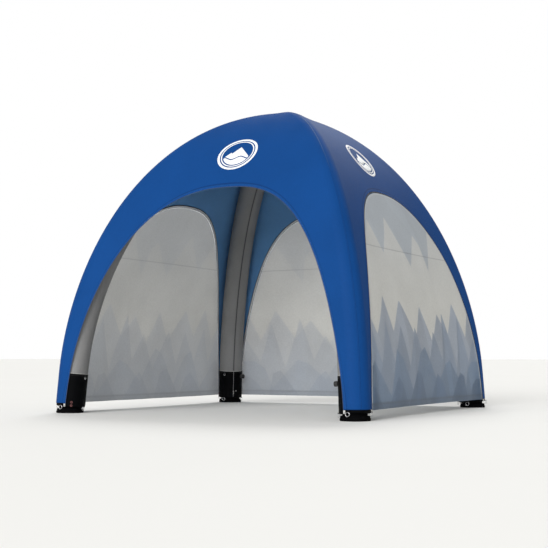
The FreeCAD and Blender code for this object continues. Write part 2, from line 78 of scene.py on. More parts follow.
TURN = 2 * math.pi


def joined(*columns):
    """Points, or flat places, from arrays of their coordinates."""
    return np.stack(np.broadcast_arrays(*columns), -1)


def unit(value):
    """A value held between 0 and 1."""
    return np.clip(value, 0, 1)


# ---- leg centre line and skin
def leg_line(q):
    """Offset, height, outward part and upward part of the normal. q is -1 to 0 straight, 0 to 1 bent."""
    q = np.asarray(q, float)
    bend = unit(q)
    joint = FOOT - LEAN * STRAIGHT_TOP
    offsets = [joint, joint - LEAN * BEND_LIFT, SHOULDER_REACH, 0.0]
    shoulder_height = CROWN_HEIGHT - CROWN_SLOPE * SHOULDER_REACH
    heights = [STRAIGHT_TOP, STRAIGHT_TOP + BEND_LIFT, shoulder_height, CROWN_HEIGHT]
    p = 1 - bend
    weights = [p ** 3, 3 * p * p * bend, 3 * p * bend * bend, bend ** 3]
    slopes = [-3 * p * p, 3 * p * p - 6 * p * bend, 6 * p * bend - 3 * bend * bend, 3 * bend * bend]
    offset = sum(w * v for w, v in zip(weights, offsets))
    height = sum(w * v for w, v in zip(weights, heights))
    run = sum(s * v for s, v in zip(slopes, offsets))
    rise = sum(s * v for s, v in zip(slopes, heights))
    low = np.minimum(q, 0) * STRAIGHT_TOP
    size = np.hypot(run, rise)
    return offset - LEAN * low, height + low, rise / size, -run / size


def face_point(across, q, radius):
    """Skin of the front face: across is 0 in the middle and 1 where the skin meets the right leg."""
    offset, height, out, up = leg_line(q)
    x = across * offset
    y = -(offset + radius * out) + SAG * offset * (1 - across ** 2)
    return joined(x, y, height + radius * up)


def corner_point(share, q, radius):
    """Skin round the front right leg: share 0 meets the front face, share 1 the right face."""
    offset, height, out, up = leg_line(q)
    turn = np.arccos(up * up)
    to_y = np.sin((1 - share) * turn) / np.sin(turn)
    to_x = np.sin(share * turn) / np.sin(turn)
    x = offset + radius * out * to_x
    y = -offset - radius * out * to_y
    z = height + radius * up * (to_x + to_y)
    return joined(x, y, z)


def running(steps):
    """Distance so far at each of a row of points, from the steps between them."""
    return np.concatenate([[0], np.cumsum(steps)])


Q_TABLE = np.linspace(-1, 1, 1601)
EDGE_LINE = face_point(np.ones_like(Q_TABLE), Q_TABLE, SKIN_RADIUS)
RISE_TABLE = EDGE_LINE[:, 2]
RUN_TABLE = running(np.linalg.norm(np.diff(EDGE_LINE[:, 1:], axis=0), axis=1))


def q_at_height(height):
    return np.interp(height, RISE_TABLE, Q_TABLE)


def q_at_run(run):
    return np.interp(run, RUN_TABLE, Q_TABLE)


def run_at_q(q):
    return np.interp(q, Q_TABLE, RUN_TABLE)


def share_at(x, q):
    """Share of the way from a face's middle to the leg."""
    return x / np.maximum(leg_line(q)[0], SMALL)


def arch_curve(inset, bottom, count):
    """Right half of an arch, from foot to top, in equal steps along it: x, z and length so far."""
    width = ARCH_HALF_WIDTH - inset
    height = ARCH_HEIGHT - inset
    start = math.asin((bottom / height) ** (ARCH_HEIGHT_POWER / 2))
    angle = np.linspace(start, math.pi / 2, 2000)
    x = width * np.abs(np.cos(angle)) ** (2 / ARCH_WIDTH_POWER)
    z = height * np.sin(angle) ** (2 / ARCH_HEIGHT_POWER)
    x[-1] = 0
    length = running(np.hypot(np.diff(x), np.diff(z)))
    even = np.linspace(0, length[-1], count)
    return np.interp(even, length, x), np.interp(even, length, z), even


def on_face(x, z, radius):
    """Points of the front face's skin at the given x and z."""
    q = q_at_height(z)
    points = face_point(share_at(x, q), q, radius)
    points[..., 2] = z
    return points


def mirrored(points, mirror):
    """Points with their first coordinate times mirror, 1 or -1."""
    points = np.array(points, float)
    points[..., 0] *= mirror
    return points


# ---- the leg's own frame
def leg_matrix():
    along = Vector((-LEAN, LEAN, 1)).normalized()
    across = along.cross(Vector((-1, 1, 0))).normalized()
    inward = across.cross(along)
    foot = Vector((FOOT, -FOOT, 0))
    rows = [(inward[i], across[i], along[i], foot[i]) for i in range(3)]
    return np.array(rows + [(0, 0, 0, 1)])


LEG_MATRIX = leg_matrix()


def on_leg(points):
    """Points from the leg's frame (x to the tent's middle, z along the leg) to the front right leg."""
    points = np.asarray(points, float)
    return points @ LEG_MATRIX[:3, :3].T + LEG_MATRIX[:3, 3]


def turned(points, quarters):
    """Points turned about +Z by quarter turns: leg to leg, or side to side."""
    points = np.array(points, float)
    for _ in range(quarters % 4):
        points = joined(-points[..., 1], points[..., 0], points[..., 2])
    return points


def at_bearing(points, bearing):
    """Points built towards +x of the leg's frame, turned about the leg."""
    angle = math.radians(bearing)
    points = np.asarray(points, float)
    x = points[..., 0] * math.cos(angle) - points[..., 1] * math.sin(angle)
    y = points[..., 0] * math.sin(angle) + points[..., 1] * math.cos(angle)
    return joined(x, y, points[..., 2])


# ---- meshes
class Sheet:
    """Points, faces and per-point values that end up in one mesh."""

    def __init__(self):
        self.points = []
        self.faces = []
        self.uv = []
        self.values = {}

    def add(self, points, faces, uv=None, flip=False, **values):
        """Every add to one sheet gives the same named values."""
        start = len(self.points)
        points = np.asarray(points, float).reshape(-1, 3)
        self.points.extend(points.tolist())
        for face in faces:
            corners = [start + corner for corner in face]
            self.faces.append(corners[::-1] if flip else corners)
        count = len(points)
        uv = np.zeros((count, 2)) if uv is None else np.asarray(uv, float).reshape(-1, 2)
        self.uv.extend(uv.tolist())
        for name, value in values.items():
            self.values.setdefault(name, []).extend(np.broadcast_to(np.ravel(value), count).tolist())

    def build(self, name, finishes, slot, *nodes, weld=0.0, smooth=True):
        """Make the mesh, as a piece of the tent's fixed body that stands in for some CAD nodes."""
        mesh = bpy.data.meshes.new(name)
        mesh.from_pydata(self.points, [], self.faces)
        for key, column in self.values.items():
            layer = mesh.attributes.new(key, "FLOAT", "POINT")
            layer.data.foreach_set("value", column)
        uv_layer = mesh.uv_layers.new(name="cloth")
        corner_points = np.zeros(len(mesh.loops), np.int32)
        mesh.loops.foreach_get("vertex_index", corner_points)
        uv_layer.data.foreach_set("uv", np.array(self.uv)[corner_points].ravel())
        if weld:
            work = bmesh.new()
            work.from_mesh(mesh)
            bmesh.ops.remove_doubles(work, verts=work.verts, dist=weld)
            bmesh.ops.dissolve_degenerate(work, edges=work.edges, dist=weld / 10)
            work.to_mesh(mesh)
            work.free()
        mesh.polygons.foreach_set("use_smooth", [smooth] * len(mesh.polygons))
        mesh.update()
        piece = bpy.data.objects.new(name, mesh)
        bpy.context.scene.collection.objects.link(piece)
        for finish in finishes:
            mesh.materials.append(MATERIALS[finish])
        if slot:
            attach(piece, "tent")
        if nodes:
            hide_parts(*nodes)
        return piece


def grid_faces(rows, columns, closed=False):
    """Quads of a grid stored row by row. A closed grid joins its last column to its first."""
    faces = []
    for row in range(rows - 1):
        for column in range(columns if closed else columns - 1):
            a = row * columns + column
            b = row * columns + (column + 1) % columns
            faces.append((a, b, b + columns, a + columns))
    return faces


def fan_faces(columns, first, middle):
    """Triangles from a closed row of points, which starts at first, to a middle point."""
    return [(first + (column + 1) % columns, first + column, middle) for column in range(columns)]


def solidify(piece, thickness, inside_material=0):
    """Give a sheet its thickness, on the side away from its outer face."""
    modifier = piece.modifiers.new("thickness", "SOLIDIFY")
    modifier.thickness = thickness
    modifier.offset = -1
    modifier.use_rim = True
    modifier.material_offset = inside_material


def subdivide(piece):
    modifier = piece.modifiers.new("smooth", "SUBSURF")
    modifier.levels = modifier.render_levels = 1
    modifier.boundary_smooth = "PRESERVE_CORNERS"


def ripple(x, y, z, scale, seed):
    """Smooth noise between -1 and 1 at each point."""
    x, y, z = np.broadcast_arrays(x, y, z)
    places = zip(x.flat, y.flat, z.flat)
    values = [noise.noise(Vector((a * scale + seed, b * scale - seed, c * scale + 3 * seed)))
              for a, b, c in places]
    return np.reshape(values, x.shape)


# ---- materials
class Graph:
    """A material's nodes, with short calls for the ones used here."""

    def __init__(self, name):
        self.material = bpy.data.materials.new(name)
        self.material.use_nodes = True
        self.tree = self.material.node_tree
        self.shader = self.tree.nodes["Principled BSDF"]

    def node(self, kind, **settings):
        made = self.tree.nodes.new(kind)
        for key, value in settings.items():
            setattr(made, key, value)
        return made

    def feed(self, socket, value):
        """Link a socket, or set its value. A colour may be three numbers."""
        if isinstance(value, bpy.types.NodeSocket):
            self.tree.links.new(value, socket)
        elif isinstance(value, tuple) and socket.type == "RGBA":
            socket.default_value = (*value, 1.0)
        else:
            socket.default_value = value

    def math(self, operation, a, b=0.0):
        made = self.node("ShaderNodeMath", operation=operation)
        self.feed(made.inputs[0], a)
        self.feed(made.inputs[1], b)
        return made.outputs[0]

    def mix(self, share, a, b, blend="MIX"):
        made = self.node("ShaderNodeMix", data_type="RGBA", blend_type=blend)
        self.feed(made.inputs[0], share)
        self.feed(made.inputs[6], a)
        self.feed(made.inputs[7], b)
        return made.outputs[2]

    def paint(self, colour, mask, strength, other):
        """A colour with a second one laid over it where a mask is, at some strength."""
        return self.mix(self.math("MULTIPLY", mask, strength), colour, other)

    def cloth_axes(self):
        """The cloth's own u and v, in metres."""
        split = self.node("ShaderNodeSeparateXYZ")
        self.feed(split.inputs[0], self.node("ShaderNodeUVMap", uv_map="cloth").outputs[0])
        return split.outputs[0], split.outputs[1]

    def noise(self, scale, detail=2.0, roughness=0.5):
        made = self.node("ShaderNodeTexNoise")
        self.feed(made.inputs["Vector"], self.node("ShaderNodeTexCoord").outputs["Object"])
        made.inputs["Scale"].default_value = scale
        made.inputs["Detail"].default_value = detail
        made.inputs["Roughness"].default_value = roughness
        return made.outputs["Fac"]

    def value(self, name):
        return self.node("ShaderNodeAttribute", attribute_name=name).outputs["Fac"]

    def ranged(self, value, low, high, to_low=0.0, to_high=1.0):
        made = self.node("ShaderNodeMapRange")
        self.feed(made.inputs[0], value)
        for socket, number in zip(made.inputs[1:5], (low, high, to_low, to_high)):
            self.feed(socket, number)
        return made.outputs[0]

    def band(self, value, low, high, soft):
        """1 between low and high, 0 outside."""
        rising = self.ranged(value, low - soft, low + soft)
        falling = self.ranged(value, high - soft, high + soft, 1.0, 0.0)
        return self.math("MULTIPLY", rising, falling)

    def ramp(self, value, stops, interpolation="LINEAR"):
        """A colour ramp through (place, colour) stops."""
        made = self.node("ShaderNodeValToRGB")
        ramp = made.color_ramp
        ramp.interpolation = interpolation
        while len(ramp.elements) < len(stops):
            ramp.elements.new(1.0)
        for element, (place, colour) in zip(ramp.elements, stops):
            element.position = place
            element.color = (*colour, 1.0)
        self.feed(made.inputs[0], value)
        return made.outputs[0]

    def bump(self, height, distance, strength=1.0, below=None):
        made = self.node("ShaderNodeBump")
        self.feed(made.inputs["Height"], height)
        made.inputs["Distance"].default_value = distance
        made.inputs["Strength"].default_value = strength
        if below is not None:
            self.feed(made.inputs["Normal"], below)
        return made.outputs[0]

    def set(self, **inputs):
        for name, value in inputs.items():
            self.feed(self.shader.inputs[name.replace("_", " ")], value)


def grey(level):
    return (level, level, level)


def weave_height(graph, pitch):
    """Plain weave: threads rise and fall along the cloth's own u and v."""
    u, v = graph.cloth_axes()
    turns = TURN / pitch
    wave_u = graph.math("SINE", graph.math("MULTIPLY", u, turns))
    wave_v = graph.math("SINE", graph.math("MULTIPLY", v, turns))
    return graph.math("MULTIPLY", wave_u, wave_v)


def stitch_mask(graph, line_at):
    """A row of stitches that runs beside an edge, at a distance from it."""
    row = graph.band(graph.value("edge"), line_at - THREAD_HALF, line_at + THREAD_HALF, 0.0003)
    dash = graph.math("FRACT", graph.math("DIVIDE", graph.value("run"), STITCH_PITCH))
    return graph.math("MULTIPLY", row, graph.band(dash, 0.12, 0.78, 0.06))


def cloth(name, colour, pitch=0.0009, roughness=0.62, sheen=0.0, patchy=0.10, crease=0.0012,
          specular=0.35, weave_depth=0.00012, translucent=0.0):
    """Coated polyester: colour that varies a little, a woven surface and soft creases."""
    graph = Graph(name)
    large = graph.noise(2.3, 3.0)
    fine = graph.noise(60.0, 2.0)
    shade = graph.math("ADD", graph.ranged(large, 0.3, 0.7, -patchy, patchy),
                       graph.ranged(fine, 0.3, 0.7, -0.03, 0.03))
    scaled = graph.node("ShaderNodeVectorMath", operation="SCALE")
    graph.feed(scaled.inputs[0], colour)
    graph.feed(scaled.inputs["Scale"], graph.math("ADD", shade, 1.0))
    graph.colour = scaled.outputs[0]
    graph.set(Base_Color=graph.colour, Sheen_Weight=sheen, Sheen_Roughness=0.5,
              Specular_IOR_Level=specular,
              Roughness=graph.ranged(fine, 0.0, 1.0, roughness - 0.05, roughness + 0.08))
    soft = graph.bump(graph.noise(7.0, 4.0, 0.55), crease)
    graph.normal = graph.bump(weave_height(graph, pitch), weave_depth, 0.6, below=soft)
    graph.set(Normal=graph.normal)
    if translucent:
        through = graph.node("ShaderNodeBsdfTranslucent")
        graph.feed(through.inputs["Color"], graph.colour)
        both = graph.node("ShaderNodeMixShader")
        graph.feed(both.inputs[0], translucent)
        graph.feed(both.inputs[1], graph.shader.outputs[0])
        graph.feed(both.inputs[2], through.outputs[0])
        graph.feed(graph.tree.nodes["Material Output"].inputs[0], both.outputs[0])
    return graph


def moulded(name, colour, roughness=0.4, grain=900.0, depth=0.00006, specular=0.5, wear=0.12,
            dust=0.12):
    """Moulded plastic or rubber with a fine grain, edges rubbed lighter and patches of dust."""
    graph = Graph(name)
    geometry = graph.node("ShaderNodeNewGeometry")
    rubbed = graph.ranged(geometry.outputs["Pointiness"], 0.52, 0.60)
    patch = graph.noise(35.0, 3.0)
    lighter = tuple(min(1.0, 0.35 + 0.5 * c) for c in colour)
    worn = graph.paint(colour, rubbed, wear, lighter)
    dusty = graph.mix(graph.ranged(patch, 0.55, 0.8, 0.0, dust), worn, DUST_GREY)
    graph.set(Base_Color=dusty, Specular_IOR_Level=specular,
              Roughness=graph.ranged(patch, 0.3, 0.7, roughness - 0.06, roughness + 0.1),
              Normal=graph.bump(graph.noise(grain, 2.0), depth, 0.7))
    return graph.material


def metal(name, colour, roughness):
    """Plated steel with faint rubbing marks."""
    graph = Graph(name)
    marks = graph.noise(180.0, 4.0, 0.6)
    graph.set(Base_Color=graph.mix(graph.ranged(marks, 0.4, 0.8, 0.0, 0.5), colour, grey(0.30)),
              Metallic=1.0, Roughness=graph.ranged(marks, 0.3, 0.7, roughness, roughness + 0.18),
              Normal=graph.bump(marks, 0.00004, 0.5))
    return graph.material


def webbing(name, colour):
    return cloth(name, colour, pitch=0.0016, roughness=0.6, sheen=0.02, specular=0.25,
                 crease=0.0003, weave_depth=0.0004).material


STITCH_PITCH = 0.0055
THREAD_HALF = 0.0009
CANOPY_BLUE = (0.0052, 0.050, 0.195)
CANOPY_INSIDE = (0.135, 0.320, 0.620)
WALL_CREAM = (0.675, 0.67, 0.63)
DUST_GREY = (0.32, 0.31, 0.29)
BLACK_NYLON = (0.012, 0.013, 0.016)
SEAM_HEIGHT = 1.41  # the walls' cross seam
RIDGE_FROM, RIDGE_FULL = 2.05, 2.50  # heights between which the painted highlight along the ridge seam fades in


def canopy_outside():
    graph = cloth("canopy_polyester", CANOPY_BLUE, roughness=0.55, patchy=0.05,
                  specular=0.04, crease=0.0006)
    # Painted shade: a darker line where the raised hem steps down to the face, in place of the shade in
    # that groove.
    hem_line = graph.band(graph.value("edge"), 0.0230, 0.0268, 0.0008)
    hem_shaded = graph.paint(graph.colour, hem_line, 0.60, (0.004, 0.02, 0.09))
    ridge = graph.value("ridge")
    seam = graph.band(ridge, 0.0036, 0.0052, 0.0005)
    seamed = graph.paint(hem_shaded, seam, 0.45, (0.004, 0.022, 0.10))
    # Painted highlight: the cloth over the raised ridge seam is painted lighter, fading in from
    # RIDGE_FROM to RIDGE_FULL towards the crown, in place of light caught by the seam.
    highlight_fade = graph.ranged(graph.value("rise"), RIDGE_FROM, RIDGE_FULL)
    welt = graph.math("MULTIPLY", graph.band(ridge, -0.01, 0.0040, 0.0008), highlight_fade)
    ridge_highlighted = graph.paint(seamed, welt, 0.45, (0.13, 0.19, 0.27))
    stitches = graph.math("MAXIMUM", stitch_mask(graph, 0.006), stitch_mask(graph, 0.020))
    sewn = graph.bump(stitches, 0.0006, below=graph.normal)
    graph.set(Base_Color=graph.paint(ridge_highlighted, stitches, 0.6, (0.05, 0.17, 0.45)),
              Normal=graph.bump(seam, -0.0008, below=sewn))
    return graph.material


def ridge_stops(seed, count, low, high, offset, shoulder=0.0):
    """Corners of a jagged skyline across the print: peaks, which may have a shoulder, and gaps."""
    draw = random.Random(seed)
    span = high - low
    stops = []
    for index in range(count):
        place = (index + offset + draw.uniform(-0.22, 0.22)) / count
        tall = index % 2 == 0
        level = high - draw.uniform(0.0, 0.35) * span if tall else low + draw.uniform(0.0, 0.3) * span
        stops.append((min(max(place, 0.0), 1.0), level))
        if tall and shoulder:
            side = draw.choice((-1, 1)) * shoulder / count
            stops.append((min(max(place + side, 0.0), 1.0), level - draw.uniform(0.08, 0.22) * span))
    return sorted(stops)


PRINT_HEIGHT = 2.0  # height that a ramp value of 1 stands for
HANGING_STOPS = (21, 11, 1.22, 1.74, 0.5, 0.35)
PRINT_LAYERS = [  # ridge_stops arguments, colour, lean of the facets, range of their tones
    ((3, 13, 0.60, 1.00, 0.35), (0.37, 0.42, 0.50), 0.12, (0.80, 1.0)),
    ((11, 15, 0.36, 0.90, 0.55), (0.30, 0.37, 0.48), -0.12, (0.70, 1.0)),
    ((5, 9, 0.14, 0.58, 0.45, 0.42), (0.175, 0.255, 0.375), 0.10, (0.80, 1.0)),
    ((8, 11, 0.02, 0.40, 0.60, 0.40), (0.115, 0.185, 0.300), -0.16, (0.76, 1.0)),
]


def skyline(graph, across, height, stops, tint, lean, tones):
    """Mask below a skyline, and the colour of each of its facets."""
    levels = [(place, grey(level / PRINT_HEIGHT)) for place, level in stops]
    line = graph.math("MULTIPLY", graph.ramp(across, levels), PRINT_HEIGHT)
    mask = graph.ranged(graph.math("SUBTRACT", line, height), -0.004, 0.004)
    slid = graph.math("ADD", across, graph.math("MULTIPLY", graph.math("SUBTRACT", height, line), lean))
    draw = random.Random(len(stops) * 7 + int(100 * lean))
    facets = [(place, grey(draw.uniform(*tones))) for place, _ in stops]
    return mask, graph.mix(1.0, tint, graph.ramp(slid, facets, "CONSTANT"), "MULTIPLY")


def print_colour(graph, strength):
    """Own low-polygon mountain print: pale sky, hanging facets above, four ranges of peaks below."""
    u, v = graph.cloth_axes()
    across = graph.ranged(u, -ARCH_HALF_WIDTH, ARCH_HALF_WIDTH)
    colour = graph.mix(graph.ranged(v, 0.9, 1.6), WALL_CREAM, (0.64, 0.645, 0.63))
    mask, facet = skyline(graph, across, v, ridge_stops(*HANGING_STOPS), (0.42, 0.48, 0.55), 0.20,
                          (0.80, 1.0))
    colour = graph.paint(colour, graph.math("SUBTRACT", 1.0, mask), 0.72 * strength, facet)
    for stops, tint, lean, tones in PRINT_LAYERS:
        mask, facet = skyline(graph, across, v, ridge_stops(*stops), tint, lean, tones)
        colour = graph.paint(colour, mask, 0.96 * strength, facet)
    return colour


def wall_material(name, strength, base, through):
    """Printed wall cloth with its border, hem, cross seam, stitches and zip flap."""
    graph = cloth(name, base, roughness=0.7, patchy=0.03, specular=0.05, crease=0.0010,
                  translucent=through)
    rise = graph.value("rise")
    flap = graph.value("flap")
    printed = graph.mix(1.0, print_colour(graph, strength), graph.colour, "MULTIPLY")
    border = graph.ranged(graph.value("edge"), 0.0155, 0.0175, 1.0, 0.0)
    folded = graph.math("SUBTRACT", 1.0, graph.ranged(rise, 0.0485, 0.0505))
    hem_lines = graph.math("MAXIMUM", graph.band(rise, 0.044, 0.0495, 0.001),
                           graph.band(rise, 0.006, 0.0105, 0.001))
    seam = graph.band(graph.cloth_axes()[1], SEAM_HEIGHT - 0.0045, SEAM_HEIGHT + 0.0045, 0.0010)
    stitches = stitch_mask(graph, 0.012)
    colour = printed
    for mask, amount, tint in (
            (border, 0.85, (0.56, 0.59, 0.62)), (folded, 0.30, (0.10, 0.12, 0.15)),
            (hem_lines, 0.45, (0.06, 0.08, 0.11)), (seam, 0.42, (0.12, 0.13, 0.15)),
            (stitches, 0.4, (0.25, 0.27, 0.30)), (graph.band(flap, 0.30, 0.66, 0.03), 1.0, grey(0.97)),
            (graph.ranged(flap, 0.62, 0.68), 1.0, (0.010, 0.012, 0.020))):
        colour = graph.paint(colour, mask, amount, tint)
    graph.set(Base_Color=colour, Normal=graph.bump(stitches, 0.0005, below=graph.normal))
    return graph.material


def stitched(graph, stitches, depth, strength, thread):
    """A cloth with stitches of a grey thread."""
    graph.set(Base_Color=graph.paint(graph.colour, stitches, strength, grey(thread)),
              Normal=graph.bump(stitches, depth, below=graph.normal))
    return graph.material


def sleeve_material():
    graph = cloth("sleeve_polyester", grey(0.20), pitch=0.0012, roughness=0.6, sheen=0.04,
                  patchy=0.08, specular=0.3, crease=0.0015)
    return stitched(graph, stitch_mask(graph, 0.011), 0.0005, 0.5, 0.09)


def boot_material():
    graph = cloth("boot_cordura", (0.0014, 0.0016, 0.0021), pitch=0.0022, roughness=0.55,
                  patchy=0.15, specular=0.04, crease=0.0020, weave_depth=0.0004)
    stitches = graph.math("MAXIMUM", stitch_mask(graph, 0.012), stitch_mask(graph, 0.018))
    return stitched(graph, stitches, 0.0006, 0.6, 0.06)


def floor_material():
    graph = Graph("studio_floor")
    grain = graph.noise(0.35, 3.0)
    graph.set(Base_Color=graph.mix(grain, (0.800, 0.795, 0.765), (0.825, 0.82, 0.795)),
              Roughness=0.85, Specular_IOR_Level=0.1)
    return graph.material


MATERIALS = {
    "canopy": canopy_outside(),
    "canopy_back": cloth("canopy_polyester_back", CANOPY_INSIDE, roughness=0.7, sheen=0.02,
                         patchy=0.08, specular=0.15, translucent=0.25).material,
    "wall": wall_material("wall_print", 1.0, grey(0.98), 0.35),
    "wall_back": wall_material("wall_print_back", 0.25, grey(0.95), 0.50),
    "zip_tape": webbing("zip_tape_navy", (0.010, 0.016, 0.034)),
    "zip_tape_front": webbing("zip_tape_blue", (0.010, 0.055, 0.200)),
    "zip_tape_dark": webbing("zip_tape_black", BLACK_NYLON),
    "zip_tape_grey": webbing("zip_tape_grey", (0.085, 0.085, 0.088)),
    "coil": moulded("zip_coil_nylon", BLACK_NYLON, roughness=0.35),
    "coil_light": moulded("zip_coil_pale", grey(0.40)),
    "sleeve": sleeve_material(),
    "bladder": cloth("bladder_film", (0.62, 0.63, 0.62), roughness=0.25, patchy=0.04,
                     specular=0.5, crease=0.0015, weave_depth=0.00002).material,
    "boot": boot_material(),
    "welt": webbing("boot_welt", (0.34, 0.34, 0.33)),
    "webbing": webbing("black_webbing", (0.018, 0.019, 0.022)),
    "emblem": cloth("emblem_vinyl", (0.80, 0.81, 0.82), roughness=0.45, patchy=0.03,
                    specular=0.4, crease=0.0004).material,
    "rubber": moulded("foot_rubber", (0.0022, 0.0022, 0.0026), roughness=0.75, grain=400.0,
                      depth=0.0002, specular=0.02, wear=0.0, dust=0.01),
    "valve": moulded("valve_plastic", (0.004, 0.004, 0.0045), roughness=0.35, specular=0.3, dust=0.02),
    "eyelet": moulded("eyelet_plastic", (0.12, 0.012, 0.010), dust=0.04),
    "clip": moulded("clip_plastic", (0.50, 0.50, 0.49), wear=0.0),
    "steel": metal("plated_steel", (0.72, 0.72, 0.73), 0.22),
    "slider": metal("zip_slider_metal", grey(0.62), 0.30),
    "floor": floor_material(),
}


# ---- canopy
HEM = 0.024
HEM_RISE = 0.0009
HEM_FOLD = 0.0015  # how far the hem's raised part stands in from each of its edges
RIDGE_RISE = 0.0011
RIDGE_HALF_WIDTH = 0.0045
CANOPY_COLUMNS = 61
FACE_ROWS = 16
CORNER_ROWS = 7
CANOPY_THICKNESS = 0.0016
WELD = 0.0001
FINE_WELD = 0.00002


def canopy_half():
    """Right half of the front face and half of the corner: points, flat place, distances."""
    x_edge, z_edge, along = arch_curve(0.0, CANOPY_BOTTOM, CANOPY_COLUMNS)
    run_edge = run_at_q(q_at_height(z_edge))
    low = run_at_q(q_at_height(CANOPY_BOTTOM))
    run_leg = np.linspace(low, RUN_TABLE[-1], CANOPY_COLUMNS)
    q_leg = q_at_run(run_leg)
    x_leg = leg_line(q_leg)[0]
    length = np.hypot(x_leg - x_edge, run_leg - run_edge)
    rows = [(np.full(CANOPY_COLUMNS, distance), HEM_RISE if distance < HEM else 0.0)
            for distance in (0.0, HEM_FOLD, HEM - HEM_FOLD, HEM)]
    rows += [(HEM + (length - HEM) * step / FACE_ROWS, 0.0) for step in range(1, FACE_ROWS + 1)]
    points, flat, edges, ridges = [], [], [], []
    for distance, raised in rows:
        run = run_edge + (run_leg - run_edge) * (distance / length)
        x = x_edge + (x_leg - x_edge) * (distance / length)
        q = q_at_run(run)
        across = unit(share_at(x, q))
        across[-1] = 0
        points.append(face_point(across, q, SKIN_RADIUS + raised))
        flat.append(joined(x, run))
        edges.append(distance)
        ridges.append(np.ones(CANOPY_COLUMNS))
    turn = np.arccos(leg_line(q_leg)[3] ** 2)
    ridge_gap = RIDGE_HALF_WIDTH / (SKIN_RADIUS * turn)
    corner_shares = [np.minimum(0.5 * step / CORNER_ROWS, 0.5 - 1.2 * ridge_gap)
                     for step in range(1, CORNER_ROWS)]
    corner_shares += [0.5 - ridge_gap, 0.5 - 0.6 * ridge_gap, np.full(CANOPY_COLUMNS, 0.5)]
    for index, share in enumerate(corner_shares):
        raised = RIDGE_RISE if index >= CORNER_ROWS else 0.0
        arc = SKIN_RADIUS * turn * share
        points.append(corner_point(share, q_leg, SKIN_RADIUS + raised))
        flat.append(joined(x_leg + arc, run_leg))
        edges.append(length + arc)
        ridges.append(SKIN_RADIUS * turn * (0.5 - share))
    points = np.array(points)
    points[:, 0, 2] = CANOPY_BOTTOM
    return points, np.array(flat), np.array(edges), np.array(ridges), np.tile(along, (len(points), 1))


def make_canopy():
    """One sheet: eight mirrored and turned halves, closed at the crown by a fan round its top point."""
    points, flat, edges, ridges, along = canopy_half()
    rows, columns = points.shape[:2]
    crown_rows = [row * columns + columns - 1 for row in range(rows - CORNER_ROWS - 3, rows)]
    fan = [(rows * columns, b, a) for a, b in zip(crown_rows, crown_rows[1:])]
    crown = np.array([[0, 0, points[-1, -1, 2] + 0.0012]])
    sheet = Sheet()
    for side in range(4):
        for mirror in (1, -1):
            placed = turned(mirrored(points, mirror), side).reshape(-1, 3)
            placed = np.concatenate([placed, crown])
            uv = np.concatenate([mirrored(flat, mirror).reshape(-1, 2), [[0, flat[-1, -1, 1]]]])
            sheet.add(
                placed, grid_faces(rows, columns) + fan, uv, flip=(mirror == 1),
                edge=np.append(edges.ravel(), 1.0),
                ridge=np.append(ridges.ravel(), 0.0),
                run=np.append(along.ravel(), 0.0),
                rise=placed[:, 2],
            )
    canopy = sheet.build("canopy_cloth", ["canopy", "canopy_back"], "canopy_fabric", "canopy", weld=WELD)
    solidify(canopy, CANOPY_THICKNESS, 1)
    subdivide(canopy)


# ---- walls
WALL_COLUMNS = 73
WALL_ROWS = 44
WALL_CROWDING = math.pi / 2 * 0.86  # draws the wall's columns together towards its edges
WALL_THICKNESS = 0.0012
WALL_HEM = 0.050
FLAP_SHARES = (0.0, 0.25, 0.5, 0.72, 0.90, 1.0)
FLAP_LIFTS = (0.0030, 0.0042, 0.0046, 0.0046, 0.0044, 0.0044)


def drape(x, z, seed):
    """How far a wall stands in or out of its taut surface: slack folds that grow towards the ground."""
    slack = unit((1.5 - z) / 1.4) ** 1.3
    held = unit((ARCH_HALF_WIDTH - np.abs(x)) / 0.25)
    folds = 0.0055 * np.sin(x * 11.0 + 1.7 * math.sin(seed) + 0.9 * z) * slack
    fine = ripple(x * 2.2, 0.0, z * 0.55, 2.4, seed)
    pulls = ripple(x * 0.9, 0.0, z * 1.6, 1.5, seed + 5)
    return (folds + 0.0085 * fine * (0.3 + slack) + 0.006 * pulls) * held


def wall_heights():
    """Heights of the wall's rows, with close rows where the seam and the hem stand up."""
    top = ARCH_HEIGHT - WALL_INSET
    start = math.asin((WALL_BOTTOM / top) ** (ARCH_HEIGHT_POWER / 2))
    heights = top * np.sin(np.linspace(start, math.pi / 2, WALL_ROWS)) ** (2 / ARCH_HEIGHT_POWER)
    seam = [SEAM_HEIGHT + step for step in (-0.005, -0.0035, 0.0035, 0.005)]
    hem = [WALL_BOTTOM + step for step in (0.003, WALL_HEM - 0.002, WALL_HEM)]
    kept = [h for h in heights if abs(h - SEAM_HEIGHT) > 0.015
            and (h < WALL_BOTTOM + 0.001 or h > WALL_BOTTOM + WALL_HEM + 0.008)]
    return np.array(sorted(kept + seam + hem))


def wall_flap(mirror):
    """Half of the flap that covers the zip from inside: it reaches past the arch, behind the canopy."""
    x_in, z_in, run = arch_curve(WALL_INSET - 0.002, CANOPY_BOTTOM, 121)
    x_arch, z_arch, _ = arch_curve(0.0, CANOPY_BOTTOM, 121)
    slope_x, slope_z = np.gradient(x_arch), np.gradient(z_arch)
    size = np.hypot(slope_x, slope_z)
    reach = 0.004 + 0.008 * unit((z_arch - 0.40) / 0.35)
    x_out = x_arch + slope_z / size * reach
    z_out = z_arch - slope_x / size * reach
    x_out[-1] = 0
    share = np.array(FLAP_SHARES)[:, None]
    x = x_in + (x_out - x_in) * share
    z = z_in + (z_out - z_in) * share
    q = q_at_height(z)
    points = face_point(unit(share_at(x, q)), q, SKIN_RADIUS)
    points[..., 1] += np.array(FLAP_LIFTS)[:, None]
    points[..., 2] = z
    flat = mirrored(joined(x, z), mirror)
    return mirrored(points, mirror), flat, np.broadcast_to(share, x.shape), np.broadcast_to(run, x.shape)


